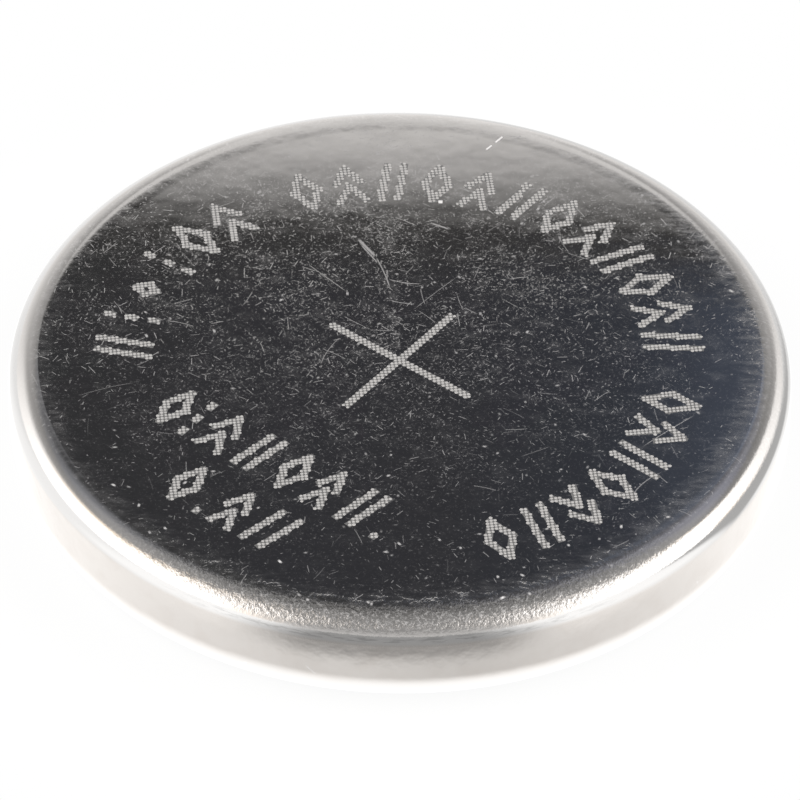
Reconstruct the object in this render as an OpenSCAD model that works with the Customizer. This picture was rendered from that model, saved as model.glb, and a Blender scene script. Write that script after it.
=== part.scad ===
// Rechargeable lithium coin cell, 20 mm across and 3.2 mm thick, lying on its negative cap.
// Millimetres. The origin is the centre of the negative contact face, and +Z points to the
// positive face. Every metal and plastic piece is a ring or cup turned about the Z axis, so
// each one is drawn as its half section and revolved.

/* [Cell] */
// Diameter over the positive can
cell_d = 20; // [16:0.1:24.5]
// Height from the negative contact face to the positive face
cell_h = 3.2; // [3:0.05:5]

/* [Positive can] */
// Thickness of the can's steel sheet
can_t = 0.25; // [0.2:0.01:0.3]
// Outside radius of the drawn corner round the positive face
can_corner_r = 0.8; // [0.5:0.05:1]
// Outside radius of the rim where it is rolled in over the gasket
crimp_r = 1.4; // [1.2:0.05:1.5]
// Angle that the rolled rim turns through, measured from the straight wall
crimp_angle = 61; // [54:1:66]
// Height of the rolled rim's edge above the negative contact face
lip_rise = 0.2; // [0.1:0.01:0.3]

/* [Negative cap] */
// Thickness of the cap's steel sheet
cap_t = 0.2; // [0.15:0.01:0.24]
// Outside radius of the corner round the negative contact face
cap_corner_r = 0.45; // [0.3:0.05:0.5]
// Radial step from the contact wall out to the folded rim
cap_step = 0.51; // [0.47:0.01:0.7]
// Outside radius of the hollow bend under the step
step_hollow_r = 0.15; // [0.1:0.01:0.17]
// Outside radius of the round bend at the edge of the step
step_round_r = 0.3; // [0.26:0.01:0.3]
// Gap left between the two leaves of the folded rim
hem_gap = 0.04; // [0.02:0.01:0.06]
// Height of the folded leaf's end above the round bend at the edge of the step
leaf_end_gap = 0.05; // [0.02:0.01:0.5]

/* [Sealing gasket] */
// Thickness of the gasket between the folded rim and the can's wall
gasket_t = 0.3; // [0.25:0.01:0.35]
// Thickness of the gasket between the fold and the can's floor
gasket_base_t = 0.3; // [0.2:0.01:0.5]
// Thickness of the gasket squeezed between the rolled rim and the cap's step
seal_t = 0.3; // [0.25:0.01:0.4]
// Thickness of the gasket's short lip inside the folded rim
gasket_lip_t = 0.33; // [0.2:0.01:0.4]
// Height of that lip from the can's floor
gasket_lip_h = 0.75; // [0.6:0.05:1]
// Depth of gasket that shows below the rolled rim's inside edge
gasket_reveal = 0.04; // [0.01:0.01:0.08]

/* [Cell stack] */
// Thickness of each current collector mesh
grid_t = 0.1; // [0.06:0.01:0.2]
// Clearance round the collector mesh on the cap's flat floor
anode_grid_gap = 0.15; // [0.1:0.05:1]
// Thickness of the pressed anode disc
anode_t = 1.35; // [0.8:0.05:1.5]
// Clearance between the anode disc and the cap's wall
anode_gap = 0.4; // [0.3:0.05:1]
// Thickness of the separator
separator_t = 0.1; // [0.05:0.01:0.3]
// Clearance between the separator and the gasket's lip
separator_gap = 0.1; // [0.05:0.05:0.3]
// Clearance between the cathode disc and the gasket's lip
cathode_gap = 0.88; // [0.5:0.02:1.2]

/* [Collector mesh] */
// Length of one diamond of the expanded mesh, centre to centre
mesh_long = 2.4; // [2:0.1:4]
// Width of one diamond of the expanded mesh, centre to centre
mesh_short = 1.4; // [1.2:0.1:2.4]
// Width of the mesh's strands
strand_w = 0.28; // [0.2:0.02:0.4]
// Plain edge kept outside the outermost holes
mesh_edge = 0.12; // [0.1:0.01:0.5]

/* [Hidden] */
$fn = 144;

// Spare length by which a cutting shape stands past what it cuts
past = 1;

// Positive can: the corner's and the rolled rim's centres, and the rim's inside edge
can_r = cell_d / 2;
can_in_r = can_r - can_t;
can_floor_z = cell_h - can_t;
crimp_z = lip_rise + crimp_r * sin(crimp_angle);
crimp_centre_r = can_r - crimp_r;
crimp_in_r = crimp_r - can_t;
lip_in_z = crimp_z - crimp_in_r * sin(crimp_angle);

// Negative cap, from the outside in: the folded rim, its two leaves and the contact wall
rim_r = can_in_r - gasket_t;
leaf_r = rim_r - cap_t - hem_gap;
leaf_in_r = leaf_r - cap_t;
wall_r = leaf_r - cap_step;
wall_in_r = wall_r - cap_t;
step_z = lip_in_z + seal_t;
fold_r = cap_t + hem_gap / 2;
fold_centre_r = rim_r - fold_r;
fold_z = can_floor_z - gasket_base_t - fold_r;
leaf_end_z = step_z + step_round_r + leaf_end_gap;

// Gasket
gasket_lip_r = leaf_in_r - gasket_lip_t;
gasket_edge_z = lip_in_z - gasket_reveal;

// Stack, from the cap's floor up to the can's
anode_grid_z = cap_t;
anode_z = anode_grid_z + grid_t;
separator_z = anode_z + anode_t;
cathode_z = separator_z + separator_t;
cathode_grid_z = can_floor_z - grid_t;
cathode_t = cathode_grid_z - cathode_z;
anode_grid_r = wall_r - cap_corner_r - anode_grid_gap;
anode_r = wall_in_r - anode_gap;
separator_r = gasket_lip_r - separator_gap;
cathode_r = gasket_lip_r - cathode_gap;

STEEL = [0.72, 0.72, 0.73];
CAP_STEEL = [0.66, 0.66, 0.67];
GASKET_PLASTIC = [0.16, 0.16, 0.17];
ALUMINIUM = [0.84, 0.85, 0.87];
COPPER = [0.76, 0.45, 0.27];
CATHODE_MIX = [0.2, 0.2, 0.22];
ANODE_MIX = [0.12, 0.12, 0.12];
SEPARATOR_FELT = [0.92, 0.92, 0.9];

// What is cut from a square corner at (r, z) to round it to radius round_r. side is 1 where
// the corner is at the top of the shape and -1 where it is at the bottom.
module corner_waste(r, z, round_r, side) {
    translate([r - round_r, z - side * round_r]) difference() {
        translate([0, side > 0 ? 0 : -round_r - past]) square(round_r + past);
        circle(round_r);
    }
}

// Half section of a filled disc of radius r from z0 to z1, with round corners
module disc_section(r, z0, z1, top_round, bottom_round) {
    difference() {
        translate([0, z0]) square([r, z1 - z0]);
        corner_waste(r, z1, top_round, 1);
        corner_waste(r, z0, bottom_round, -1);
    }
}

// The metal in the hollow of a step at (r, z), where a wall meets a flange above it
module hollow_fill(r, z, hollow_r) {
    difference() {
        translate([r - past, z - hollow_r]) square([hollow_r + past, hollow_r + past]);
        translate([r + hollow_r, z - hollow_r]) circle(hollow_r);
    }
}

// Everything inside the can's outer skin, or inside its sheet with inset = can_t
module can_fill(inset) {
    disc_section(can_r - inset, crimp_z - crimp_r + inset, cell_h - inset,
                 can_corner_r - inset, crimp_r - inset);
}

// The can's open mouth, out to the end of the rolled rim
module can_mouth() {
    reach = crimp_r + past;
    edge = [crimp_centre_r + reach * cos(crimp_angle), crimp_z - reach * sin(crimp_angle)];
    polygon([[crimp_centre_r, crimp_z], edge, [-past, edge.y], [-past, crimp_z]]);
}

module can_section() {
    difference() {
        can_fill(0);
        can_fill(can_t);
        can_mouth();
    }
}

// Everything inside the cap's skin up to the fold's centre, or inside its sheet with
// inset = cap_t, where up lifts the top edge clear of the sheet
module cap_fill(inset, up) {
    wall = wall_r - inset;
    leaf = leaf_r - inset;
    step = step_z + inset;
    difference() {
        union() {
            translate([0, inset]) square([wall, fold_z - inset]);
            translate([0, step]) square([leaf, fold_z + up - step]);
            intersection() {
                hollow_fill(wall, step, step_hollow_r + inset);
                translate([0, inset]) square([leaf, fold_z - inset]);
            }
        }
        corner_waste(wall, inset, cap_corner_r - inset, -1);
        corner_waste(leaf, step, step_round_r - inset, -1);
    }
}

// The fold at the top of the rim with the free leaf that hangs from it, gap and all
module fold_outline() {
    translate([fold_centre_r, fold_z]) circle(fold_r);
    translate([fold_centre_r - fold_r, leaf_end_z]) square([2 * fold_r, fold_z - leaf_end_z]);
}

// The gap between the two leaves, round where the sheet turns back
module leaf_gap() {
    translate([fold_centre_r, fold_z]) circle(hem_gap / 2);
    translate([leaf_r, 0]) square([hem_gap, fold_z]);
}

module cap_section() {
    difference() {
        union() {
            cap_fill(0, 0);
            fold_outline();
        }
        cap_fill(cap_t, past);
        leaf_gap();
    }
}

module gasket_section() {
    difference() {
        intersection() {
            can_fill(can_t);
            translate([gasket_lip_r, gasket_edge_z]) square([can_r, cell_h]);
        }
        cap_fill(0, 0);
        fold_outline();
    }
    translate([gasket_lip_r, can_floor_z - gasket_lip_h]) square([gasket_lip_t, gasket_lip_h]);
}

// Round disc of expanded mesh: whole diamonds in staggered rows, clear of the disc's edge
module mesh_disc(r, thick) {
    rows = ceil(r / (mesh_short / 2));
    columns = ceil(r / mesh_long);
    side_distance = 1 / norm([2 / mesh_long, 2 / mesh_short]);
    open_share = 1 - strand_w / (2 * side_distance);
    hole_long = mesh_long * open_share;
    hole_short = mesh_short * open_share;
    linear_extrude(thick) difference() {
        circle(r);
        for (row = [-rows : rows], column = [-columns : columns]) {
            x = (column + (row % 2 == 0 ? 0 : 0.5)) * mesh_long;
            y = row * mesh_short / 2;
            if (norm([abs(x) + hole_long / 2, y]) < r - mesh_edge
                && norm([x, abs(y) + hole_short / 2]) < r - mesh_edge)
                translate([x, y])
                    polygon([[hole_long / 2, 0], [0, hole_short / 2],
                             [-hole_long / 2, 0], [0, -hole_short / 2]]);
        }
    }
}

// Drawn steel cup with the positive face, its rim rolled in over the gasket
module positive_can() {
    color(STEEL) rotate_extrude() can_section();
}

// Moulded ring squeezed between the can and the cap's folded rim
module sealing_gasket() {
    color(GASKET_PLASTIC) rotate_extrude() gasket_section();
}

// Stepped steel cap with the negative face, its edge folded back on itself inside the gasket
module negative_cap() {
    color(CAP_STEEL) rotate_extrude() cap_section();
}

module cathode_grid() {
    color(ALUMINIUM) translate([0, 0, cathode_grid_z]) mesh_disc(cathode_r, grid_t);
}

module cathode_disc() {
    color(CATHODE_MIX) translate([0, 0, cathode_z]) cylinder(r = cathode_r, h = cathode_t);
}

module separator() {
    color(SEPARATOR_FELT) translate([0, 0, separator_z]) cylinder(r = separator_r, h = separator_t);
}

module anode_disc() {
    color(ANODE_MIX) translate([0, 0, anode_z]) cylinder(r = anode_r, h = anode_t);
}

module anode_grid() {
    color(COPPER) translate([0, 0, anode_grid_z]) mesh_disc(anode_grid_r, grid_t);
}

positive_can();
sealing_gasket();
negative_cap();
cathode_grid();
cathode_disc();
separator();
anode_disc();
anode_grid();
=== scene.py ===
import math
import random

import bpy
from bpy.props import FloatProperty, FloatVectorProperty, IntProperty, PointerProperty
from mathutils import Matrix, Vector


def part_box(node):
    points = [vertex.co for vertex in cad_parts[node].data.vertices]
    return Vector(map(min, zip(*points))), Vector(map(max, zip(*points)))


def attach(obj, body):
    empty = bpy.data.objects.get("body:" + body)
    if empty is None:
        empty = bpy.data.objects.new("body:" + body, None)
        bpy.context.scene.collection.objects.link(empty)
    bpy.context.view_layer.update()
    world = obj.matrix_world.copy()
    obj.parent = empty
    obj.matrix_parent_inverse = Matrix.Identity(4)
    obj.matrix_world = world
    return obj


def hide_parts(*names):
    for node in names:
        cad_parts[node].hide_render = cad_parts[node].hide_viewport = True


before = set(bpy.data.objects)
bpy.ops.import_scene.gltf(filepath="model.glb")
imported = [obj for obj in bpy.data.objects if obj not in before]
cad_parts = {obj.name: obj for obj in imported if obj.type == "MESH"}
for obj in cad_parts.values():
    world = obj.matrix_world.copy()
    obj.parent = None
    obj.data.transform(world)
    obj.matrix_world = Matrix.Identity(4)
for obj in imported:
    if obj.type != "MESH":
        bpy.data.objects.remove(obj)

bl_info = {
    "name": "Lithium coin cell",
    "version": (1, 0, 0),
    "blender": (4, 5, 0),
    "location": "View3D > Sidebar > Coin Cell",
    "description": "Dresses the packed coin cell: turned steel can and cap, gasket, marks and studio",
    "category": "Object",
}

MM = 0.001
DEGREE = math.pi / 180
SAME_POINT = 1e-8
SHARP_ANGLE = 32 * DEGREE
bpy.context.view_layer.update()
CELL_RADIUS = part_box("positive_can")[1].x
CELL_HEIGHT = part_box("positive_can")[1].z
CAN_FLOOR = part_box("cathode_grid")[1].z
RIM_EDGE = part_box("positive_can")[0].z


# Settings that a user would change

def length_value(name, description, default):
    return FloatProperty(
        name=name, description=description, default=default, unit="LENGTH", precision=6)


def angle_value(name, description, degrees):
    return FloatProperty(
        name=name, description=description, default=math.radians(degrees), subtype="ANGLE")


def pair_value(name, description, default):
    return FloatVectorProperty(
        name=name, description=description, default=default, size=2, subtype="XYZ",
        unit="LENGTH", precision=6)


def colour_value(name, description, default):
    return FloatVectorProperty(
        name=name, description=description, default=default, size=3, subtype="COLOR",
        min=0, max=1)


def steps_round(name, default):
    return IntProperty(
        name="Segments", description="Number of steps round the " + name, default=default, min=48)


class CanSettings(bpy.types.PropertyGroup):
    """Sizes and finish of the positive can"""
    radius: length_value("Radius", "Outside radius of the can's straight wall", CELL_RADIUS)
    height: length_value(
        "Face height", "Height of the positive face above the negative contact", CELL_HEIGHT)
    sheet: length_value(
        "Sheet thickness", "Thickness of the can's steel sheet", CELL_HEIGHT - CAN_FLOOR)
    corner: length_value("Corner radius", "Outside radius of the drawn corner round the face", 0.8 * MM)
    fall: FloatProperty(
        name="Fall at the edge", description="Slope in degrees of the face where its corner starts",
        default=2.4, min=0, max=8)
    fall_width: length_value(
        "Fall width", "Width of the ring in which the face begins to fall away", 0.16 * MM)
    rolled: length_value(
        "Rolled rim radius", "Outside radius of the rim rolled in over the gasket", 1.4 * MM)
    rolled_angle: angle_value(
        "Rolled angle", "Angle that the rolled rim turns through from the wall", 61)
    edge_height: length_value("Rim edge height", "Height of the rolled rim's outside edge", RIM_EDGE)
    segments: steps_round("can", 320)
    steel: colour_value("Steel", "Colour of the plated steel", (0.66, 0.65, 0.64))


class CapSettings(bpy.types.PropertyGroup):
    """Sizes and finish of the negative cap"""
    sheet: length_value("Sheet thickness", "Thickness of the cap's steel sheet", 0.2 * MM)
    rim: length_value("Folded rim radius", "Outside radius of the folded rim", 9.45 * MM)
    wall: length_value(
        "Contact wall radius", "Outside radius of the wall round the contact face", 8.7 * MM)
    contact_corner: length_value(
        "Contact corner radius", "Outside radius of the contact face's corner", 0.45 * MM)
    step_height: length_value("Step height", "Height of the underside of the cap's step", 0.71866 * MM)
    hollow: length_value(
        "Step hollow radius", "Outside radius of the hollow bend under the step", 0.15 * MM)
    step_round: length_value(
        "Step round radius", "Outside radius of the bend at the step's edge", 0.3 * MM)
    leaf_gap: length_value("Leaf gap", "Gap between the two leaves of the folded rim", 0.04 * MM)
    leaf_end: length_value("Leaf end height", "Height of the free leaf's end", 1.06866 * MM)
    fold_height: length_value("Fold height", "Height of the centre of the fold", 2.43 * MM)
    segments: steps_round("cap", 256)
    steel: colour_value("Steel", "Colour of the cap's steel", (0.60, 0.59, 0.57))


class GasketSettings(bpy.types.PropertyGroup):
    """Sizes and finish of the sealing gasket"""
    lip_radius: length_value("Lip radius", "Inside radius of the gasket's inner lip", 8.68 * MM)
    lip_foot: length_value("Lip foot", "Height at which the gasket's inner lip begins", 2.2 * MM)
    seen_edge: length_value(
        "Seen edge", "Height of the gasket's edge under the rolled rim", 0.37866 * MM)
    segments: steps_round("gasket", 192)
    plastic: colour_value("Plastic", "Colour of the gasket's plastic", (0.045, 0.045, 0.05))


class MarkSettings(bpy.types.PropertyGroup):
    """Sizes and finish of the dotted marks on the positive face"""
    turn: angle_value("Turn", "Angle of the marks on the face, clockwise from above", 37.3)
    centre: pair_value("Centre", "Centre of the plus on the positive face", (-0.02 * MM, -0.40 * MM))
    plus: length_value("Plus size", "Length of the plus sign's bars", 4.46 * MM)
    stroke: length_value("Stroke", "Width of a line of dots", 0.20 * MM)
    pitch: pair_value("Dot pitch", "Distance between dots across and along", (0.139 * MM, 0.143 * MM))
    dot: length_value("Dot size", "Diameter of one dot", 0.096 * MM)
    proud: length_value("Height", "Height of a dot above the face", 0.003 * MM)
    ring_inner: length_value(
        "Ring inner radius", "Radius at the foot of the marks in the ring", 6.27 * MM)
    ring_outer: length_value(
        "Ring outer radius", "Radius at the top of the marks in the ring", 7.78 * MM)
    ring_start: angle_value("Ring start", "Angle of the first mark in the ring", 214.3)
    ring_step: angle_value("Ring step", "Angle from one mark in the ring to the next", 9.45)
    ink: colour_value("Etched grey", "Colour of the frosted dots", (0.50, 0.49, 0.48))
    ground: colour_value("Ground grey", "Colour of the ground between the dots", (0.33, 0.328, 0.325))


class StudioSettings(bpy.types.PropertyGroup):
    """The floor, the studio light and the camera"""
    floor: length_value("Floor radius", "Radius of the round floor", 0.5)
    white: colour_value("Floor white", "Colour of the floor", (0.93, 0.93, 0.93))
    lamps: FloatProperty(
        name="Lamps", description="Power of each soft lamp", default=1.3, min=0, unit="POWER")
    distance: length_value(
        "Camera distance", "Distance from the camera to the cell's centre", 157.5 * MM)
    elevation: angle_value("Camera elevation", "Angle of the camera above the floor", 42.17)
    roll: angle_value("Camera roll", "Turn of the camera about its own line of sight", 0.76)
    lens: FloatProperty(
        name="Lens", description="Focal length of the camera in millimetres",
        default=276.3, min=20)


# Shader maths as Python expressions

class Wire:
    """An output socket on which sums can be written; each adds the node that works it out"""

    def __init__(self, web, socket):
        self.web = web
        self.socket = socket

    def has_parts(self):
        return self.socket.type in ("VECTOR", "RGBA")

    def joined(self, operation, first, second):
        parts = any(w.has_parts() for w in (first, second) if isinstance(w, Wire))
        parts = parts or any(isinstance(w, (tuple, Vector)) for w in (first, second))
        kind = "ShaderNodeVectorMath" if parts else "ShaderNodeMath"
        return self.web.node(kind, {"operation": operation}, {0: first, 1: second})

    def __add__(self, other):
        return self.joined("ADD", self, other)

    def __radd__(self, other):
        return self.joined("ADD", other, self)

    def __sub__(self, other):
        return self.joined("SUBTRACT", self, other)

    def __rsub__(self, other):
        return self.joined("SUBTRACT", other, self)

    def __mul__(self, other):
        return self.joined("MULTIPLY", self, other)

    def __rmul__(self, other):
        return self.joined("MULTIPLY", other, self)

    def __truediv__(self, other):
        return self.joined("DIVIDE", self, other)

    def __rtruediv__(self, other):
        return self.joined("DIVIDE", other, self)

    def __pow__(self, other):
        return self.joined("POWER", self, other)

    def __rpow__(self, other):
        return self.joined("POWER", other, self)

    def __neg__(self):
        return self * -1.0

    def __abs__(self):
        return self.apply("ABSOLUTE")

    def apply(self, operation, *others):
        inputs = dict(enumerate((self,) + others))
        return self.web.node("ShaderNodeMath", {"operation": operation}, inputs)

    def at_least(self, other):
        return self.apply("MAXIMUM", other)

    def at_most(self, other):
        return self.apply("MINIMUM", other)

    def above(self, edge, soft):
        """0 below edge and 1 above it, with a smooth change soft wide on each side"""
        return self.web.node(
            "ShaderNodeMapRange", {"interpolation_type": "SMOOTHSTEP"},
            {"Value": self, "From Min": edge - soft, "From Max": edge + soft})

    def below(self, edge, soft):
        return 1.0 - self.above(edge, soft)

    def ramp(self, low, high, first=0.0, last=1.0):
        """first at low and last at high, even between them and held outside them"""
        return self.web.node(
            "ShaderNodeMapRange", {"clamp": True},
            {"Value": self, "From Min": low, "From Max": high, "To Min": first, "To Max": last})

    def part(self, name):
        return self.web.node("ShaderNodeSeparateXYZ", {}, {0: self}, name)


class Web:
    """A node tree that is being filled"""

    def __init__(self, tree):
        self.tree = tree
        self.tree.nodes.clear()

    def node(self, kind, settings, sockets, output=0):
        """Adds a node of a kind, sets its settings and then its sockets, and returns an output"""
        made = self.tree.nodes.new(kind)
        for name, value in settings.items():
            setattr(made, name, value)
        for name, value in sockets.items():
            socket = made.inputs[name]
            if isinstance(value, Wire):
                self.tree.links.new(value.socket, socket)
            elif socket.type == "RGBA" and len(value) == 3:
                socket.default_value = (*value, 1.0)
            elif socket.type == "VECTOR" and isinstance(value, (int, float)):
                socket.default_value = (value, value, value)
            else:
                socket.default_value = value
        return Wire(self, made.outputs[output]) if len(made.outputs) else made

    def mix(self, factor, first, second):
        """The colour first where factor is 0 and second where it is 1"""
        sockets = {0: factor, 6: first, 7: second}
        return self.node("ShaderNodeMix", {"data_type": "RGBA"}, sockets, 2)

    def colour(self, red, green, blue):
        return self.node("ShaderNodeCombineColor", {}, {0: red, 1: green, 2: blue})

    def noise(self, place, scale, detail=2.0, roughness=0.5, output="Fac"):
        return self.node("ShaderNodeTexNoise", {}, {
            "Vector": place, "Scale": scale, "Detail": detail, "Roughness": roughness}, output)

    def flat_noise(self, place, scale, detail=2.0, roughness=0.5):
        """Noise over x and y alone"""
        return self.node("ShaderNodeTexNoise", {"noise_dimensions": "2D"}, {
            "Vector": place, "Scale": scale, "Detail": detail, "Roughness": roughness})

    def place(self):
        """Where a point of the surface is, in millimetres"""
        return self.node("ShaderNodeTexCoord", {}, {}, "Object") * 1000.0

    def turned(self, place, angle):
        return self.node("ShaderNodeVectorRotate", {"rotation_type": "Z_AXIS"}, {
            "Vector": place, "Angle": angle})

    def surface(self, colour, roughness, height, metallic=0.0):
        """A Principled shader, with bumps whose height is in millimetres"""
        bump = self.node("ShaderNodeBump", {}, {"Height": height, "Distance": MM, "Strength": 1.0})
        return self.node("ShaderNodeBsdfPrincipled", {}, {
            "Base Color": colour, "Metallic": metallic, "Roughness": roughness, "Normal": bump})

    def shaders(self, factor, first, second):
        """The shader first where factor is 0 and second where it is 1"""
        return self.node("ShaderNodeMixShader", {}, {0: factor, 1: first, 2: second})

    def finish(self, shader):
        self.node("ShaderNodeOutputMaterial", {}, {"Surface": shader})


def blend(mask, first, second):
    """The value first where mask is 0 and second where it is 1"""
    return first + mask * (second - first)


def finished(name, finish, *details):
    """A new material, whose shader finish makes from a web, a place on the surface and details"""
    material = bpy.data.materials.new(name)
    material.use_nodes = True
    web = Web(material.node_tree)
    web.finish(finish(web, web.place(), *details))
    return material


def dashes(web, place, pitch, length, width, share, crowd, turn=0.0, bend=0.0):
    """Short scratches and specks, at most one for each cell of the pitch, turned at random.

    share is how many of the cells have one, and crowd a wire that thins them out. The mask
    is 1 on a strong scratch and lower on a faint one.
    """
    if turn:
        place = web.turned(place, turn)
    sockets = {"Vector": place, "Scale": 1.0 / pitch}
    cell = web.node("ShaderNodeTexVoronoi", {"voronoi_dimensions": "2D"}, sockets, "Position")
    picked = cell.socket.node.outputs["Color"]
    chance = Wire(web, picked)
    offset = web.turned(place - cell, chance.part("X") * (2 * math.pi))
    along = abs(offset.part("X"))
    across = offset.part("Y")
    if bend:
        across = across - along * along * bend
    half = chance.part("Y") * (0.45 * length) + 0.1 * length
    line = abs(across).below(0.5 * width, 0.35 * width) * (half - along).above(0.0, width)
    faint = (1.0 - chance.part("Z") / (crowd * share)).ramp(0.0, 1.0)
    return line * faint ** 1.5


def strand(web, place, start, end, width, bow=0.0):
    """A single long scratch from start to end, in millimetres, with its middle bowed out"""
    middle = (Vector(start) + Vector(end)) / 2
    run = Vector(end) - Vector(start)
    local = web.node("ShaderNodeMapping", {"vector_type": "TEXTURE"}, {
        "Vector": place, "Location": (middle.x, middle.y, 0.0),
        "Rotation": (0.0, 0.0, math.atan2(run.y, run.x)), "Scale": (run.length / 2, width, 1.0)})
    along = local.part("X")
    rest = 1.0 - along * along
    across = rest.apply("MULTIPLY_ADD", -bow / width, local.part("Y"))
    return rest.ramp(0.0, 0.5) * abs(across).below(0.5, 0.35)


# Meshes turned about the cell's axis

def new_piece(name, vertices, faces):
    mesh = bpy.data.meshes.new(name)
    mesh.from_pydata(vertices, [], faces)
    piece = bpy.data.objects.new(name, mesh)
    bpy.context.scene.collection.objects.link(piece)
    return piece


def band(first, second, count):
    """Four-sided faces between two rings of count vertices, which start at first and second"""
    steps = [(step, (step + 1) % count) for step in range(count)]
    return [(first + ahead, first + step, second + step, second + ahead) for step, ahead in steps]


def arc(centre, radius, start, end, steps):
    """Points (r, z) on an arc about centre from start to end, angles in degrees"""
    points = []
    for number in range(steps + 1):
        angle = math.radians(start + (end - start) * number / steps)
        points.append((centre[0] + radius * math.cos(angle), centre[1] + radius * math.sin(angle)))
    return points


def turned_mesh(name, outline, segments):
    """A closed outline of points (r, z) turned about the axis, smooth but for its sharp edges"""
    kept = []
    for point in outline:
        if not kept or math.dist(point, kept[-1]) > SAME_POINT:
            kept.append(point)
    if math.dist(kept[0], kept[-1]) < SAME_POINT:
        kept.pop()
    vertices, rings, faces = [], [], []
    for r, z in kept:
        count = 1 if r < SAME_POINT else segments
        rings.append((len(vertices), count))
        for step in range(count):
            angle = 2 * math.pi * step / segments
            vertices.append((r * math.cos(angle), r * math.sin(angle), z))
    for number, (first, count) in enumerate(rings):
        following, next_count = rings[(number + 1) % len(rings)]
        if count == next_count:
            faces += band(first, following, segments) if count > 1 else []
            continue
        for step in range(segments):
            ahead = (step + 1) % segments
            faces.append((first, following + step, following + ahead) if count == 1
                         else (first + ahead, first + step, following))
    piece = new_piece(name, vertices, faces)
    piece.data.validate()
    piece.data.shade_smooth()
    piece.data.set_sharp_from_angle(angle=SHARP_ANGLE)
    return piece


def can_centres(s):
    """Centres (r, z) of the can's drawn corner and of its rolled rim"""
    corner = (s.radius - s.corner, s.height - s.corner)
    roll = (s.radius - s.rolled, s.edge_height + s.rolled * math.sin(s.rolled_angle))
    return corner, roll


def cap_centres(s):
    """Outside radius of the cap's inner leaf, and the centres of its hollow, round bend and fold"""
    leaf = s.rim - s.sheet - s.leaf_gap
    hollow = (s.wall + s.hollow, s.step_height - s.hollow)
    bend = (leaf - s.step_round, s.step_height + s.step_round)
    fold = (s.rim - s.sheet - s.leaf_gap / 2, s.fold_height)
    return leaf, hollow, bend, fold


def can_outline(s):
    """Half section of the can, from the middle of the face round to the inside of its floor"""
    turn = math.degrees(s.rolled_angle)
    corner, roll = can_centres(s)
    floor = s.height - s.sheet
    # The face falls away a little before the corner, and the corner starts at that slope
    fall = math.radians(s.fall)
    fall_start = corner[0] - s.fall_width
    run = corner[0] + s.corner * math.sin(fall) - fall_start
    drop = fall * run / 3 - s.corner * (1 - math.cos(fall))
    outline = [(0.0, s.height), (0.3 * s.radius, s.height), (0.6 * s.radius, s.height)]
    outline += [(fall_start - 0.03 * MM, s.height)]
    steps = 12
    for step in range(steps):
        share = step / steps
        outline.append((fall_start + share * run, s.height - fall * run / 3 * share ** 3))
    outline += arc((corner[0], corner[1] - drop), s.corner, 90 - s.fall, 0, steps=24)
    outline += [(s.radius, (corner[1] + roll[1]) / 2)]
    outline += arc(roll, s.rolled, 0, -turn, steps=24)
    outline += arc(roll, s.rolled - s.sheet, -turn, 0, steps=14)
    outline += arc(corner, s.corner - s.sheet, 0, 90, steps=10)
    outline += [(0.85 * s.radius, floor), (0.4 * s.radius, floor), (0.0, floor)]
    return outline


def cap_outline(s):
    """Half section of the cap, from the contact face out to the fold and back inside"""
    sheet = s.sheet
    corner = (s.wall - s.contact_corner, s.contact_corner)
    leaf, hollow, bend, fold = cap_centres(s)
    outline = [(0.0, 0.0), (0.3 * s.wall, 0.0), (0.6 * s.wall, 0.0), (corner[0] - 0.1 * MM, 0.0)]
    outline += arc(corner, s.contact_corner, -90, 0, steps=14)
    outline += arc(hollow, s.hollow, 180, 90, steps=10)
    outline += arc(bend, s.step_round, -90, 0, steps=12)
    outline += [(leaf, s.leaf_end), (leaf, s.fold_height)]
    outline += arc(fold, s.leaf_gap / 2, 180, 0, steps=10)
    outline += [(s.rim - sheet, s.leaf_end), (s.rim, s.leaf_end)]
    outline += arc(fold, sheet + s.leaf_gap / 2, 0, 180, steps=20)
    outline += arc(bend, s.step_round - sheet, 0, -90, steps=8)
    outline += arc(hollow, s.hollow + sheet, 90, 180, steps=10)
    outline += arc(corner, s.contact_corner - sheet, 0, -90, steps=10)
    outline += [(0.5 * s.wall, sheet), (0.0, sheet)]
    return outline


def gasket_outline(can, cap, s):
    """Half section of the gasket, which fills the space between the can and the folded rim"""
    corner, roll = can_centres(can)
    leaf, hollow, bend, fold = cap_centres(cap)
    inside = can.rolled - can.sheet
    floor = can.height - can.sheet
    seen_turn = math.asin((roll[1] - s.seen_edge) / inside)
    outline = [(cap.wall, s.seen_edge), (roll[0] + inside * math.cos(seen_turn), s.seen_edge)]
    outline += arc(roll, inside, -math.degrees(seen_turn), 0, steps=18)
    outline += arc(corner, can.corner - can.sheet, 0, 90, steps=10)
    outline += [(s.lip_radius, floor), (s.lip_radius, s.lip_foot), (leaf - cap.sheet, s.lip_foot)]
    outline += arc(fold, cap.sheet + cap.leaf_gap / 2, 180, 0, steps=20)
    outline += [(cap.rim, cap.leaf_end), (leaf, cap.leaf_end)]
    outline += arc(bend, cap.step_round, 0, -90, steps=12)
    outline += arc(hollow, cap.hollow, 90, 180, steps=10)
    return outline


# Finishes

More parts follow.
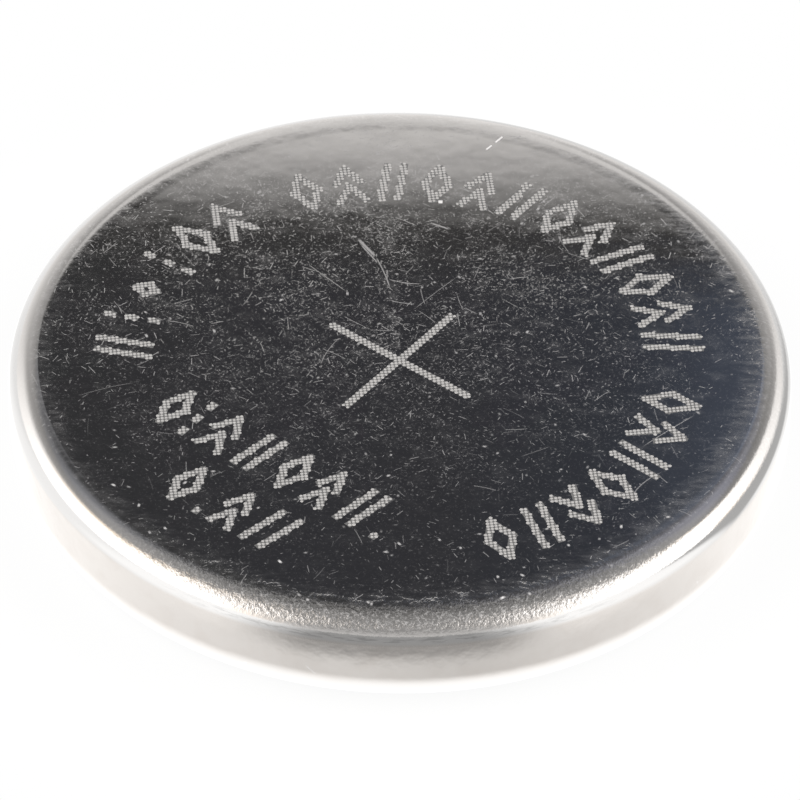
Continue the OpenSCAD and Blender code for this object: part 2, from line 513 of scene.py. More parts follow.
# Long scratches on the face: start, end, width and bow in millimetres, and strength
LONG_SCRATCHES = (
    ((-1.14, 4.31), (-0.67, 3.61), 0.07, 0.0, 0.16),
    ((-1.06, 4.08), (-0.61, 3.36), 0.03, 0.0, 0.18),
    ((-0.67, 3.61), (-0.29, 2.39), 0.03, 0.03, 0.15),
    ((-0.35, 2.74), (0.54, 2.56), 0.026, -0.05, 0.16),
    ((0.32, 1.54), (1.44, 2.85), 0.022, 0.02, 0.10),
    ((0.77, 4.97), (1.22, 4.75), 0.045, 0.0, 0.16),
    ((-2.45, 3.31), (-1.40, 2.22), 0.024, 0.0, 0.13),
    ((-2.03, -0.62), (-1.54, 0.45), 0.022, 0.06, 0.12),
    ((3.03, -3.96), (3.78, -3.57), 0.022, 0.0, 0.10),
    ((6.09, -3.54), (7.45, -2.32), 0.026, 0.02, 0.16),
    ((5.75, -5.49), (6.57, -4.45), 0.03, 0.12, 0.16),
    ((-8.13, -1.92), (-6.70, -1.38), 0.024, 0.05, 0.09),
    ((2.19, 7.98), (2.36, 8.19), 0.05, 0.0, 0.9),
    ((2.43, 8.28), (2.65, 8.56), 0.05, 0.0, 0.9),
    ((0.94, 5.84), (1.06, 5.84), 0.1, 0.0, 0.9),
)
# Colour of dull places: real scratches and wear, and also the painted glints and painted haze of light
WORN_AND_PAINTED_LIGHT_STEEL = (0.80, 0.79, 0.785)
WALL_STEEL = (0.645, 0.613, 0.583)
WALL_STAIN = (0.59, 0.55, 0.515)


def face_wear(web, x, y, place):
    """How dull the face's scratches and specks make it, how cloudy it is, and how much is smeared"""
    # Most handled in the middle and towards the far left
    worn_x = (x + 0.8) / 6.0
    worn_y = (y - 1.8) / 5.2
    worn = (worn_x * worn_x + worn_y * worn_y).ramp(0.1, 2.6, 1.0, 0.36)
    patches = web.flat_noise(place, 0.6, 2.0, 0.6).ramp(0.32, 0.68, 0.45, 1.25)
    crowd = worn * patches
    near = y.ramp(-7.5, -2.5, 1.0, 0.45)

    specks = dashes(web, place, 0.10, 0.05, 0.032, 0.42, crowd)
    grit = dashes(web, place, 0.16, 0.12, 0.022, 0.70, crowd, turn=0.7)
    nicks = dashes(web, place, 0.30, 0.26, 0.020, 0.75, crowd, turn=1.9, bend=0.3)
    ticks = dashes(web, place, 0.70, 0.60, 0.022, 0.75, crowd, turn=2.6, bend=0.15)
    bright = dashes(web, place, 0.42, 0.09, 0.055, 0.24, crowd.at_least(near * 0.9), turn=1.2, bend=1.5)
    flecks = web.flat_noise(place, 13.0, 2.0, 0.6).ramp(0.60, 0.80) * crowd
    curls = abs(web.flat_noise(place, 3.2, 2.0, 0.5) - 0.5).below(0.009, 0.009)
    curls = curls * web.flat_noise(place, 4.0, 1.0, 0.5).ramp(0.52, 0.62) * crowd
    dull = (specks * 0.19).at_least(grit * 0.18).at_least(nicks * 0.20).at_least(ticks * 0.17)
    dull = dull.at_least(flecks * 0.14).at_least(curls * 0.09).at_least(bright * near * 0.8)
    for start, end, width, bow, strength in LONG_SCRATCHES:
        dull = dull.at_least(strand(web, place, start, end, width, bow) * strength)

    wide = place * (1.0, 1.6, 1.0)
    film = web.flat_noise(wide, 2.7, 4.0, 0.76).ramp(0.47, 0.76) * crowd
    haze = web.flat_noise(wide, 1.3, 4.0, 0.68).ramp(0.52, 0.72)
    haze = haze * crowd.at_least(x.ramp(2.0, 7.0, 0.3, 1.0))
    smears = web.flat_noise(place * (1.0, 2.1, 1.0), 1.6, 3.0, 0.65).ramp(0.5, 0.78)
    return dull + film * 0.019 + haze * 0.026 + 0.005, smears, crowd


def plated_steel(web, place, s):
    """Bright plated sheet: a scuffed mirror face, a grainy corner and a duller drawn wall"""
    x, y, z = (place.part(axis) for axis in "XYZ")
    r = (x * x + y * y).apply("SQRT")
    steel = tuple(s.steel)
    dark_steel = tuple(c * 0.6 for c in steel)
    top, corner = s.height / MM, s.corner / MM
    foot = top - corner

    # The face, the sine of the corner's lean, all above the wall, and the wall
    face = z.above(top - 0.04, 0.014)
    lean = ((r - (s.radius / MM - corner)) / corner).ramp(0.0, 1.0)
    upper = z.above(foot - 0.08, 0.08)
    wall = z.below(foot + 0.06, 0.07) * z.above(1.15, 0.25)
    worn_face, smears, crowd = face_wear(web, x, y, place)

    # Smudges drawn sideways over the edge of the face, where the corner's grain begins; at the right
    # and left they are made stronger as a painted haze of light beside the side highlights
    drawn = web.flat_noise(place * (1.7, 5.5, 1.0), 1.0, 3.0, 0.64)
    reach = r + (drawn - 0.5) * 1.1
    rightward = x.above(3.0, 4.0)
    leftward = (-x).above(5.0, 3.0)
    edge = (reach + rightward * 0.25).above(9.05, 0.3) * drawn.ramp(0.3, 0.7, 0.4, 1.0)
    edge = edge * (1.0 + rightward * 0.8 + leftward * smears * 1.6)

    # The corner's grain, which shows most ahead, and small painted glints in it: bright matt specks
    # that stand in for sparkle
    grain = web.noise(place, 10.0, 3.0, 0.62)
    ahead = y.ramp(-9.2, -6.2, 1.0, 0.05).at_least(x.ramp(5.0, 9.0, 0.0, 0.15))
    peel = reach.above(9.26, 0.2) * lean.below(0.84, 0.12) * upper * ahead
    hooks = abs(web.noise(place, 7.0, 2.0, 0.5) - 0.5).below(0.03, 0.03) * grain.ramp(0.46, 0.58)
    glints = hooks.at_least(web.noise(place, 21.0, 2.0, 0.6).ramp(0.56, 0.68) * 0.6)
    glints = glints * peel * lean.above(0.25, 0.3) * lean.below(0.8, 0.1)

    # The wall's dents, upright draw lines, level streaks and scuffs
    clouds = web.noise(place, 1.3, 2.0, 0.6)
    dents = web.noise(place, 2.6, 2.0, 0.5)
    unrolled = web.colour(y.apply("ARCTAN2", x) * 10.0, z, 0.0)
    draws = web.flat_noise(unrolled * (8.0, 0.6, 1.0), 1.0, 3.0, 0.6)
    scuffs = dashes(web, unrolled, 1.5, 0.3, 0.05, 0.3, 1.0) * wall
    streaks = web.flat_noise(unrolled * (2.2, 14.0, 1.0), 1.0, 2.0, 0.6).ramp(0.48, 0.64)
    streaks = streaks * abs(z - (foot + 0.2)).below(0.07, 0.05) * y.ramp(-9.6, -8.0, 0.6, 0.0)

    # Real scuffs on the wall and painted glints on the corner; on the rim also the face's wear and the
    # edge smudges with their painted haze of light
    scuffs_and_painted_glints = (scuffs * 0.3).at_least(glints * 0.2)
    rim_wear_and_painted_light = (face * (worn_face + edge * 0.03)).at_least(scuffs_and_painted_glints)
    smeared = smears * crowd * 0.03
    drawn_wall = lean.above(0.2, 0.2) * upper * 0.09 + wall * (0.04 + draws * 0.08)
    # Painted shade: the low places of the corner's grain, ahead most, are darkened in the colour
    tone = web.mix(peel * grain.ramp(0.36, 0.60, 0.4, 0.0), steel, dark_steel)
    tone = web.mix(streaks, tone, dark_steel)
    tone = web.mix(wall, tone, WALL_STEEL)
    tone = web.mix(wall * clouds.ramp(0.45, 0.75) * 0.5, tone, WALL_STAIN)
    waves = web.flat_noise(place, 0.9, 2.0, 0.5) * face * 0.0007
    lip = (r + (clouds - 0.5) * 0.1).above(8.88, 0.16) * dents.ramp(0.35, 0.65, 0.6, 1.1)
    coarse = 0.02 + lean.above(0.75, 0.12) * 0.02
    side_height = (grain - 0.5) * peel * coarse + lip * 0.0004
    side_height = side_height + wall * (dents * 0.006 + draws * 0.0005)

    def sheet(base, dull, extra_rough, height):
        # Dull places turn light and matt: real wear, and also the painted glints and painted haze of
        # light
        colour = web.mix(dull.ramp(0.0, 0.08), base, WORN_AND_PAINTED_LIGHT_STEEL)
        return web.surface(colour, 0.02 + dull * 0.9 + extra_rough, height, 1.0 - dull)

    # Three finishes of one sheet, so that the renderer works out only what each place needs: the
    # face's wear has ended below face_foot, and the corner's grain within inner_radius
    face_foot = top - 0.056
    inner_radius = 8.12
    rim = sheet(tone, rim_wear_and_painted_light, face * smeared + drawn_wall, side_height + waves)
    side = sheet(tone, scuffs_and_painted_glints, drawn_wall, side_height)
    inner = sheet(steel, worn_face, smeared, waves)
    outer = web.shaders(z.below(face_foot, 0.001), rim, side)
    return web.shaders(r.below(inner_radius, 0.01), outer, inner)


def brushed_steel(web, place, steel):
    """Satin sheet with straight brushing, handling scratches and rubbed rings where it was turned"""
    flat = place * (1.0, 1.0, 0.0)
    x, y, z = (place.part(axis) for axis in "XYZ")
    r = (x * x + y * y).apply("SQRT")
    contact = z.below(0.03, 0.012)
    brushing = web.noise(place * (0.55, 17.0, 17.0), 1.0, 4.0, 0.65)
    clouds = web.noise(flat, 0.5, 3.0, 0.6)
    crowd = clouds.ramp(0.3, 0.7, 0.4, 1.2)
    scratches = dashes(web, flat, 1.1, 0.8, 0.03, 0.6, crowd, turn=0.9, bend=0.4)
    nicks = dashes(web, flat, 0.4, 0.2, 0.03, 0.5, crowd, turn=2.2, bend=1.0)
    rub = abs(r - 5.6 - web.noise(flat, 0.8) * 1.4).below(0.5, 0.5) * 0.5
    marks = scratches.at_least(nicks * 0.8) * contact
    rough = 0.26 + brushing * 0.16 + clouds * 0.06 + marks * 0.2 - rub * contact * 0.08
    tone = web.mix(marks, steel, (0.74, 0.73, 0.71))
    tone = web.mix(clouds.ramp(0.45, 0.8) * 0.35, tone, (0.52, 0.50, 0.47))
    tone = web.mix(brushing.ramp(0.35, 0.65) * 0.3, tone, (0.47, 0.46, 0.44))
    tone = web.mix(rub * contact * 0.5, tone, (0.70, 0.69, 0.67))
    return web.surface(tone, rough, brushing * 0.0016 - marks * 0.002, 1.0)


def moulded_plastic(web, place, plastic):
    """Tough dark gasket plastic, with a mottle that makes it lighter and rougher in places"""
    mottle = web.noise(place, 3.0, 3.0, 0.6)
    texture = web.noise(place, 22.0, 2.0, 0.5)
    lighter = tuple(c * 1.7 + 0.01 for c in plastic)
    tone = web.mix(mottle.ramp(0.35, 0.7), plastic, lighter)
    return web.surface(tone, 0.38 + mottle * 0.18, texture * 0.002)


def frosted_dots(web, place, ink):
    """Steel frosted by the marking laser, with each dot a little lighter or darker"""
    shade = web.noise(place, 5.0, 3.0, 0.6)
    fine = web.noise(place, 38.0, 2.0, 0.6)
    tone = web.mix((shade * 0.6 + fine * 0.5).ramp(0.35, 0.72), tuple(c * 0.74 for c in ink), ink)
    return web.surface(tone, 0.6 + fine * 0.2, fine * 0.0012)


def etched_ground(web, place, grey):
    """Steel dulled by the marking laser between its dots"""
    mottle = web.noise(place, 14.0, 3.0, 0.65)
    tone = web.mix(mottle.ramp(0.35, 0.7), tuple(c * 0.7 for c in grey), grey)
    return web.surface(tone, 0.12 + mottle * 0.3, mottle * 0.001, 0.5 + mottle * 0.15)


def expanded_metal(web, place, light, dark, spots):
    """Rolled collector foil, slit and stretched: bright strands with stains from the mix"""
    rolling = web.noise(place * (1.2, 14.0, 14.0), 1.0, 3.0, 0.6)
    stain = web.noise(place, 2.2, 4.0, 0.65).ramp(0.5, 0.72)
    tone = web.mix(stain * 0.6, web.mix(rolling.ramp(0.3, 0.7), dark, light), spots)
    rough = 0.3 + rolling * 0.15 + stain * 0.2
    return web.surface(tone, rough, rolling * 0.002, 1.0 - stain * 0.5)


def pressed_powder(web, place, dark, light, painted_sheen):
    """Dark powder pressed into a disc: fine grains, soft clumps and a few shining flakes"""
    grains = web.noise(place, 16.0, 4.0, 0.7)
    clumps = web.noise(place, 2.4, 3.0, 0.6)
    flakes = web.node("ShaderNodeTexVoronoi", {}, {"Vector": place, "Scale": 9.0}, "Distance")
    glint = flakes.below(0.18, 0.06) * grains.ramp(0.5, 0.6)
    tone = web.mix((grains * 0.6 + clumps * 0.5).ramp(0.4, 0.75), dark, light)
    # Painted sheen: the flakes are made lighter in colour as well as smoother
    tone = web.mix(glint * 0.5, tone, painted_sheen)
    return web.surface(tone, 0.85 - glint * 0.3, grains * 0.012 + clumps * 0.006)


def felted_fibre(web, place):
    """White non-woven separator: crossed fibres over a mottled ground"""
    warp = web.noise(place, 1.6, 2.0, 0.5, "Color")
    drawn = place + (warp - (0.5, 0.5, 0.5)) * 0.9
    one = web.noise(drawn * (2.2, 19.0, 2.0), 1.0, 3.0, 0.6)
    two = web.noise(web.turned(drawn, 1.1) * (2.2, 19.0, 2.0), 1.0, 3.0, 0.6)
    fibres = one.at_least(two).ramp(0.5, 0.72)
    ground = web.noise(place, 1.1, 3.0, 0.6)
    tone = web.mix(fibres, (0.74, 0.74, 0.71), (0.9, 0.9, 0.88))
    tone = web.mix(ground.ramp(0.55, 0.8) * 0.3, tone, (0.7, 0.7, 0.66))
    return web.surface(tone, 0.9 - fibres * 0.12, fibres * 0.012)


# Dotted marks on the face

def mark_lines(kind, width, height, stroke):
    """Centre lines of one plain ornamental shape, which stands on its middle"""
    across, up = (width - stroke) / 2, (height - stroke) / 2
    if kind == "gem":
        up *= 0.42
    if kind in ("lozenge", "gem"):
        corners = [(0, -up), (across, 0), (0, up), (-across, 0)]
        return [(corners[n], corners[(n + 1) % 4]) for n in range(4)]
    if kind == "slants":
        lean = 0.62 * across
        return [((-across, -up), (lean - across, up)), ((across - lean, -up), (across, up))]
    if kind == "chevrons":
        return [((-across * side, foot), (0, foot + 0.9 * up))
                for side in (-1, 1) for foot in (-up, 0.1 * up)]
    if kind == "beads":
        return [((0, middle * up), (0, (middle + 0.2) * up)) for middle in (-1, -0.1, 0.8)]
    return [((0, -up), (0, -up + 0.02 * MM))]


class MarkField:
    """All the strokes of the marks, and which points lie on one"""

    def __init__(self, stroke):
        self.half = stroke / 2
        self.strokes = []

    def add(self, kind, width, height, centre, turn):
        turned = Matrix.Rotation(turn, 2)
        for start, end in mark_lines(kind, width, height, 2 * self.half):
            self.add_line(turned @ Vector(start) + Vector(centre),
                          turned @ Vector(end) + Vector(centre))

    def add_line(self, start, end):
        run = end - start
        length = run.length
        self.strokes.append((start, run / length, length))

    def holds(self, point):
        for start, run, length in self.strokes:
            offset = point - start
            if offset.length_squared > (length + 4 * self.half) ** 2:
                continue
            along = offset.dot(run)
            across = offset.x * run.y - offset.y * run.x
            if abs(across) <= self.half and -self.half <= along <= length + self.half:
                return True
        return False


# The marks in the ring, each group with the place in the ring where it starts
RING_GROUPS = (
    (0, ("slants", "beads", "gem", "beads", "lozenge", "chevrons")),
    (7, ("lozenge", "chevrons", "slants") * 4),
    (20, ("lozenge", "chevrons", "slants") * 2 + ("lozenge",)),
)
# Widths and places in millimetres: for each row its height, then place, width and kind of mark
RING_WIDTHS = {"beads": 0.22, "gem": 0.62}
ROWS = (
    (-4.90, ((-3.33, 0.77, "lozenge"), (-2.62, 0.22, "beads"), (-1.78, 0.86, "chevrons"),
             (-0.63, 0.78, "slants"), (0.49, 0.78, "lozenge"), (1.52, 0.72, "chevrons"),
             (2.64, 0.80, "slants"), (3.48, 0.22, "point"))),
    (-6.90, ((-1.32, 0.78, "lozenge"), (-0.52, 0.22, "point"), (0.21, 0.75, "chevrons"),
             (1.35, 1.00, "slants"))),
)
ROW_HEIGHT = 1.48
MARK_WIDTH = 0.85
# How far the marks reach down into the face, so that no gap shows under them
MARK_ROOT = 0.001 * MM
DOT_CORNERS = 8


def mark_field(s):
    field = MarkField(s.stroke)
    half_plus = (s.plus - s.stroke) / 2
    field.add_line(Vector((-half_plus, 0)), Vector((half_plus, 0)))
    field.add_line(Vector((0, -half_plus)), Vector((0, half_plus)))
    middle = (s.ring_inner + s.ring_outer) / 2
    for first, kinds in RING_GROUPS:
        for number, kind in enumerate(kinds):
            angle = s.ring_start - (first + number) * s.ring_step
            width = RING_WIDTHS.get(kind, MARK_WIDTH) * MM
            centre = (middle * math.cos(angle), middle * math.sin(angle))
            field.add(kind, width, s.ring_outer - s.ring_inner, centre, angle - math.pi / 2)
    for height, marks in ROWS:
        for across, width, kind in marks:
            field.add(kind, width * MM, ROW_HEIGHT * MM, (across * MM, height * MM), 0.0)
    return field


def stroke_mesh(name, s, face, field):
    """The etched ground of each stroke, a very low flat bar with sloping ends and sides

    Bars that cross have tops at slightly different heights, so that no two faces coincide.
    """
    vertices, faces = [], []
    turn = Matrix.Rotation(-s.turn, 2)
    for number, (start, run, length) in enumerate(field.strokes):
        side = Vector((-run.y, run.x))
        first = len(vertices)
        top = face + s.proud * (0.3 + 0.07 * (number % 5))
        for level, half in ((face - MARK_ROOT, field.half), (top, 0.95 * field.half)):
            for along, across in ((-half, -half), (length + half, -half), (length + half, half),
                                  (-half, half)):
                corner = turn @ (start + run * along + side * across) + Vector(s.centre[:2])
                vertices.append((corner.x, corner.y, level))
        faces.append(tuple(range(first + 4, first + 8)))
        faces += band(first + 4, first, 4)
    return new_piece(name, vertices, faces)


def dot_mesh(name, s, face, field):
    """Frosted dots on a staggered grid, wherever a stroke is, each a low cone's foot"""
    chance = random.Random(5)
    vertices, faces = [], []
    reach = s.ring_outer + 0.2 * MM
    rows = int(reach / (s.pitch[1] / 2)) + 1
    columns = int(reach / s.pitch[0]) + 1
    turn = Matrix.Rotation(-s.turn, 2)
    for row in range(-rows, rows + 1):
        for column in range(-columns, columns + 1):
            point = Vector(((column + 0.5 * (row % 2)) * s.pitch[0], row * s.pitch[1] / 2))
            if point.length > reach or not field.holds(point):
                continue
            centre = turn @ point + Vector(s.centre[:2])
            radius = s.dot / 2 * (1 + chance.uniform(-0.12, 0.12))
            start = chance.uniform(0, 1)
            first = len(vertices)
            for level, share in ((face - MARK_ROOT, 1.0), (face + s.proud, 0.82)):
                for corner in range(DOT_CORNERS):
                    angle = 2 * math.pi * (corner + start) / DOT_CORNERS
                    vertices.append((centre.x + share * radius * math.cos(angle),
                                     centre.y + share * radius * math.sin(angle), level))
            top = first + DOT_CORNERS
            faces.append(tuple(reversed(range(first, top))))
            faces.append(tuple(range(top, top + DOT_CORNERS)))
            faces += band(top, first, DOT_CORNERS)
    return new_piece(name, vertices, faces)


# Studio

# The floor lies this far under the contact face, so that the two don't coincide
FLOOR_DROP = 0.01 * MM


def studio_light(world):
    """Soft studio round the cell: a pale card behind, a soft light on each side, dark above"""
    web = Web(world.node_tree)
    way = web.node("ShaderNodeTexCoord", {}, {}, "Generated")
    x, y, z = (way.part(axis) for axis in "XYZ")
    # In degrees: the rise, and bearings from the right, from the left and off the back
    rise = z.at_most(1.0).at_least(-1.0).apply("ARCSINE") / DEGREE
    right = y.apply("ARCTAN2", x) / DEGREE
    left = y.apply("ARCTAN2", -x) / DEGREE
    off = x.apply("ARCTAN2", y) / DEGREE

    # Above: dim overhead, darkest over the back
    turn_right = off.ramp(0.0, 65.0)
    turn_left = (-off).ramp(20.0, 72.0)
    reach = 0.08 + 0.92 * turn_right.at_least(turn_left).above(0.5, 0.5)
    reach = reach.at_least(rise.above(76.0, 14.0) * 0.6)
    level = rise.ramp(45.0, 85.0, 0.48, 0.2) * reach
    ahead = (-y).above(0.45, 0.35)
    level = blend(ahead * rise.below(58.0, 12.0), level, rise.ramp(20.0, 45.0, 0.40, 0.38))
    level = level + ahead * rise.ramp(0.0, 20.0, 0.4, 0.0)

    # Behind: a pale card with a clean top edge, between softer surroundings
    beside = off.above(5.4, 2.0).at_least((-off).above(6.4, 2.2))
    well_beside = abs(off).above(10.0, 3.0)
    card = 1.0 - beside
    glow = rise.ramp(0.0, 48.0, 1.08, 0.2) + card * rise.ramp(6.0, 40.0, 0.04, 0.42)
    glow = glow * (1.0 - off.above(7.0, 3.0) * rise.above(20.0, 14.0) * 0.22)
    foot_of_edge = 39.70 - well_beside
    top_of_edge = 40.56 + well_beside * 7.5
    shown = rise.ramp(foot_of_edge, top_of_edge, 1.0, 0.0) * y.above(0.2, 0.3)
    level = blend(shown, level, glow)

    # On each side: a soft light that falls away upward and towards its ends
    left_top = left.ramp(-20.0, 38.0, 41.0, 24.8)
    left_soft = left.ramp(-45.0, 0.0, 13.0, 7.0)
    left_light = (left_top - rise).above(0.0, left_soft) * left.above(-53.0, 14.0)
    left_light = left_light * left.below(50.0, 7.0)
    level = blend(left_light, level, left.ramp(5.0, 45.0, 2.2, 1.15))

    right_top = right.ramp(5.0, 54.0, 41.5, 17.5)
    right_soft = right.ramp(-50.0, -20.0, 13.0, 3.5)
    right_foot = right.ramp(-12.0, 2.0, -20.0, 3.0)
    right_light = (right_top - rise).above(0.0, right_soft) * right.above(-52.5, 14.0)
    right_light = right_light * right.below(54.0, 5.0) * (rise - right_foot).above(0.0, 4.5)
    level = blend(right_light, level, right.ramp(6.0, 50.0, 2.0, 1.08))
    level = blend(rise.below(-0.6, 0.5), level, 1.0)

    # Tints: cold over the card, bluer in a patch at its right, warm on the card and at soft edges
    patch = rise.above(40.9, 0.4) * off.below(16.0, 6.0) * rise.below(50.0, 6.0)
    behind = y.above(0.3, 0.2) * rise.above(40.9, 0.4)
    cold = web.mix(off.ramp(-4.0, -1.5), (0.97, 0.985, 1.06), (0.97, 0.985, 1.14))
    tint = web.mix(behind, (1.0, 0.98, 0.965), cold)
    tint = web.mix(patch * off.ramp(0.5, 4.0), tint, (0.93, 1.10, 1.5))
    fringe = left_light * (1.0 - left_light) * left.ramp(-60.0, -15.0, 1.6, 5.0)
    fringe = fringe + right_light * (1.0 - right_light) * right.ramp(-50.0, -10.0, 1.4, 2.8)
    tint = web.mix(fringe.at_most(1.0), tint, (1.0, 0.865, 0.725))
    tint = web.mix(shown * shown, tint, (1.0, 0.975, 0.955))
    level = level + patch * off.above(3.7, 1.2) * 0.035
    seen = web.node("ShaderNodeLightPath", {}, {}, "Is Camera Ray")
    shade = web.mix(seen, tint * level, (1.0, 1.0, 1.0))
    web.node("ShaderNodeOutputWorld", {}, {
        "Surface": web.node("ShaderNodeBackground", {}, {"Color": shade, "Strength": 1.0})})


def soft_lamp(name, place, size, watts):
    """A square lamp that lights matt surfaces evenly and isn't mirrored in the steel"""
    data = bpy.data.lights.new(name, "AREA")
    data.shape = "SQUARE"
    data.size = size
    data.energy = watts
    lamp = bpy.data.objects.new(name, data)
    lamp.location = place
    lamp.rotation_mode = "QUATERNION"
    lamp.rotation_quaternion = Vector(place).to_track_quat("Z", "Y")
    lamp.visible_glossy = False
    bpy.context.scene.collection.objects.link(lamp)


def floor_mesh(name, radius):
    """A round floor with a small opening under the cell, where the cell hides it"""
    vertices, faces = [], []
    steps = 96
    for number, ring in enumerate((8.1 * MM, 14 * MM, 50 * MM, radius)):
        for step in range(steps):
            angle = 2 * math.pi * step / steps
            vertices.append((ring * math.cos(angle), ring * math.sin(angle), -FLOOR_DROP))
        if number:
            faces += band((number - 1) * steps, number * steps, steps)
    return new_piece(name, vertices, faces)


def white_floor(web, place, white):
    """White floor with the cell's shadow, which the steel mirrors greyer in front and at the right"""
    x, y = place.part("X"), place.part("Y")
    r = (x * x + y * y).apply("SQRT")
    from_front = x.apply("ARCTAN2", -y) / DEGREE
    from_right = y.apply("ARCTAN2", x) / DEGREE
    grain = web.noise(place, 0.05, 2.0, 0.5)
    matt = web.node("ShaderNodeBsdfDiffuse", {}, {
        "Color": web.mix(grain.ramp(0.4, 0.6), white, tuple(c * 0.985 for c in white))})
    # What the steel mirrors of the floor: a ring near the cell, the floor beyond it, and two
    # places at the right
    sides = abs(from_front)
    ring = sides.ramp(15.0, 60.0, 0.98, 1.42)
    ring = ring * (1.0 - x.above(0.0, 2.0) * sides.below(60.0, 15.0) * 0.1)
    far = r.above(12.1, 0.5)
    ahead = sides.below(24.0, 10.0)
    lit = sides.above(30.0, 6.0) * sides.below(66.0, 8.0) * r.above(14.0, 1.2)
    aside = from_right.above(-21.0, 4.0) * from_right.below(34.0, 12.0)
    aside = aside * (r - from_right.ramp(-20.0, 22.0, 12.6, 15.6)).above(0.0, 0.8)
    beyond = blend(ahead, 1.30 + lit * 0.17, 0.42)
    beyond = beyond * (1.0 - sides.above(106.0, 12.0) * 0.14)
    back_right = x.above(2.0, 3.0) * sides.above(98.0, 14.0)
    mirrored = blend(far, ring, beyond) * (1.0 - back_right * 0.16)
    mirrored = blend(r.below(10.65, 0.48), mirrored, 1.5)
    mirrored = blend(aside, mirrored, 0.60)
    # The camera sees white, the steel mirrors the values above, and other light finds a matt floor
    path = web.node("ShaderNodeLightPath", {}, {}, "Is Camera Ray")
    glossy = Wire(web, path.socket.node.outputs["Is Glossy Ray"])
    clear = Wire(web, path.socket.node.outputs["Is Transmission Ray"])
    shown = web.node("ShaderNodeEmission", {}, {
        "Color": (1.0, 1.0, 1.0), "Strength": path + (glossy + clear) * mirrored})
    plain = 0.93 + r.above(14.5, 1.5) * 0.07
    lit_floor = web.shaders(path * plain + glossy + clear, matt, shown)
    under = web.node("ShaderNodeNewGeometry", {}, {}, "Backfacing")
    return web.shaders(under, lit_floor, web.node("ShaderNodeBsdfTransparent", {}, {}))


# Operators, one for each piece or group of like pieces

def put_on(piece, material, node=None):
    """Gives a piece its finish and hangs it on the cell's one body"""
    piece.data.materials.clear()
    piece.data.materials.append(material)
    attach(piece, "root")
    if node:
        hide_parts(node)


class COINCELL_OT_can(bpy.types.Operator):
    """Turns the positive can with its drawn corner and rolled rim"""
    bl_idname = "coin_cell.make_can"
    bl_label = "Positive can"

    def execute(self, context):
        s = context.scene.coin_cell_can
        piece = turned_mesh("can_shell", can_outline(s), s.segments)
        put_on(piece, finished("plated_steel", plated_steel, s), "positive_can")
        return {"FINISHED"}


class COINCELL_OT_cap(bpy.types.Operator):
    """Turns the stepped negative cap with its folded rim"""
    bl_idname = "coin_cell.make_cap"
    bl_label = "Negative cap"

    def execute(self, context):
        s = context.scene.coin_cell_cap
        piece = turned_mesh("cap_shell", cap_outline(s), s.segments)
        steel = finished("brushed_steel", brushed_steel, tuple(s.steel))
        put_on(piece, steel, "negative_cap")
        return {"FINISHED"}


class COINCELL_OT_gasket(bpy.types.Operator):
    """Turns the gasket that fills the space between the can and the cap"""
    bl_idname = "coin_cell.make_gasket"
    bl_label = "Sealing gasket"

    def execute(self, context):
        scene = context.scene
        s = scene.coin_cell_gasket
        outline = gasket_outline(scene.coin_cell_can, scene.coin_cell_cap, s)
        piece = turned_mesh("gasket_ring", outline, s.segments)
        plastic = finished("gasket_plastic", moulded_plastic, tuple(s.plastic))
        put_on(piece, plastic, "sealing_gasket")
        return {"FINISHED"}


class COINCELL_OT_marks(bpy.types.Operator):
    """Lays the plus and the dotted marks on the positive face"""
    bl_idname = "coin_cell.make_marks"
    bl_label = "Face marks"

    def execute(self, context):
        s = context.scene.coin_cell_marks
        face = context.scene.coin_cell_can.height
        field = mark_field(s)
        ground = stroke_mesh("mark_ground", s, face, field)
        put_on(ground, finished("etched_ground", etched_ground, tuple(s.ground)))
        dots = dot_mesh("face_marks", s, face, field)
        put_on(dots, finished("frosted_dots", frosted_dots, tuple(s.ink)))
        return {"FINISHED"}


# For each node of the stack, its material's name, its finish and that finish's colours
STACK_FINISHES = {
    "cathode_grid": ("grid_aluminium", expanded_metal,
                     (0.86, 0.87, 0.88), (0.70, 0.71, 0.73), (0.10, 0.10, 0.11)),
    "anode_grid": ("grid_copper", expanded_metal,
                   (0.93, 0.58, 0.40), (0.72, 0.38, 0.22), (0.09, 0.08, 0.08)),
    "cathode_disc": ("cathode_mix", pressed_powder,
                     (0.028, 0.028, 0.033), (0.075, 0.075, 0.085), (0.22, 0.22, 0.25)),
    "anode_disc": ("anode_mix", pressed_powder,
                   (0.014, 0.014, 0.015), (0.045, 0.045, 0.047), (0.28, 0.28, 0.29)),
    "separator": ("separator_felt", felted_fibre),
}


class COINCELL_OT_stack(bpy.types.Operator):
    """Gives the two meshes, the two pressed discs and the separator their finishes"""
    bl_idname = "coin_cell.finish_stack"
    bl_label = "Cell stack"

    def execute(self, context):
        for node, finish in STACK_FINISHES.items():
            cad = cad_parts[node]
            material = finished(*finish)
            if not cad.material_slots:
                cad.data.materials.append(material)
            for slot in cad.material_slots:
                slot.material = material
        return {"FINISHED"}


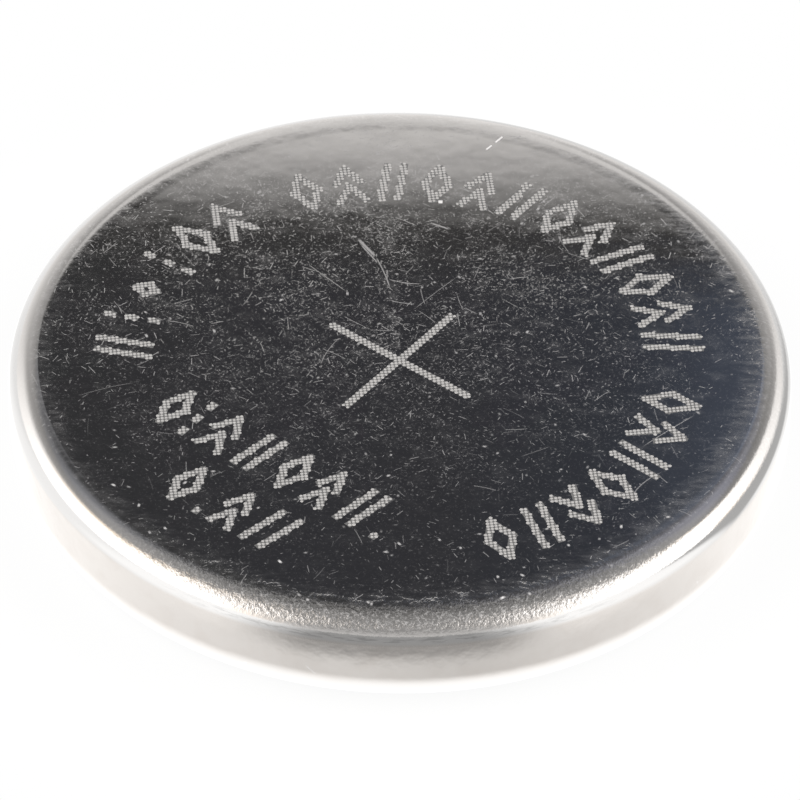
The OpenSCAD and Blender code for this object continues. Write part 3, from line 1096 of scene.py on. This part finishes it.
class COINCELL_OT_stage(bpy.types.Operator):
    """Sets the pale floor, the studio light and the camera"""
    bl_idname = "coin_cell.make_stage"
    bl_label = "Floor, light and camera"

    def execute(self, context):
        scene = context.scene
        s = scene.coin_cell_studio
        floor = floor_mesh("studio_floor", s.floor)
        white = finished("studio_floor", white_floor, tuple(s.white))
        white.cycles.emission_sampling = "NONE"
        floor.data.materials.append(white)

        world = bpy.data.worlds.new("studio")
        world.use_nodes = True
        scene.world = world
        studio_light(world)
        soft_lamp("lamp_left", (-0.30, -0.10, 0.42), 0.35, s.lamps)
        soft_lamp("lamp_right", (0.34, -0.04, 0.40), 0.35, s.lamps * 0.85)

        middle = Vector((0, 0, CELL_HEIGHT / 2))
        back = Vector((0, -math.cos(s.elevation), math.sin(s.elevation)))
        level_right = Vector((1, 0, 0))
        level_up = back.cross(level_right)
        right = level_right * math.cos(s.roll) + level_up * math.sin(s.roll)
        up = level_up * math.cos(s.roll) - level_right * math.sin(s.roll)
        stand = middle + back * s.distance
        # The cell's centre lies a little above and left of the picture's centre
        aim = middle + right * 0.008 * MM - up * 0.095 * MM
        away = (stand - aim).normalized()
        across = up.cross(away).normalized()
        turned = Matrix((across, away.cross(across), away)).transposed()
        data = bpy.data.cameras.new("camera")
        data.lens = s.lens
        data.clip_start = 0.01
        data.clip_end = 5.0
        camera = bpy.data.objects.new("camera", data)
        scene.collection.objects.link(camera)
        camera.matrix_world = Matrix.Translation(stand) @ turned.to_4x4()
        scene.camera = camera
        scene.view_settings.view_transform = "Standard"
        return {"FINISHED"}


class COINCELL_PT_panel(bpy.types.Panel):
    """Buttons and sizes of the coin cell"""
    bl_idname = "COINCELL_PT_panel"
    bl_label = "Coin cell"
    bl_space_type = "VIEW_3D"
    bl_region_type = "UI"
    bl_category = "Coin Cell"

    def draw(self, context):
        layout = self.layout
        scene = context.scene
        for operator, settings in STEPS:
            box = layout.box()
            box.operator(operator.bl_idname)
            if settings:
                group = getattr(scene, settings)
                for name in group.__annotations__:
                    box.prop(group, name)


GROUPS = {
    "coin_cell_can": CanSettings,
    "coin_cell_cap": CapSettings,
    "coin_cell_gasket": GasketSettings,
    "coin_cell_marks": MarkSettings,
    "coin_cell_studio": StudioSettings,
}
STEPS = (
    (COINCELL_OT_can, "coin_cell_can"),
    (COINCELL_OT_cap, "coin_cell_cap"),
    (COINCELL_OT_gasket, "coin_cell_gasket"),
    (COINCELL_OT_marks, "coin_cell_marks"),
    (COINCELL_OT_stack, None),
    (COINCELL_OT_stage, "coin_cell_studio"),
)
CLASSES = (*GROUPS.values(), *(operator for operator, settings in STEPS), COINCELL_PT_panel)


def register():
    for each in CLASSES:
        bpy.utils.register_class(each)
    for name, group in GROUPS.items():
        setattr(bpy.types.Scene, name, PointerProperty(type=group))


def unregister():
    for name in GROUPS:
        delattr(bpy.types.Scene, name)
    for each in reversed(CLASSES):
        bpy.utils.unregister_class(each)


def main():
    register()
    bpy.ops.coin_cell.make_can()
    bpy.ops.coin_cell.make_cap()
    bpy.ops.coin_cell.make_gasket()
    bpy.ops.coin_cell.make_marks()
    bpy.ops.coin_cell.finish_stack()
    bpy.ops.coin_cell.make_stage()


if __name__ == "__main__":
    main()
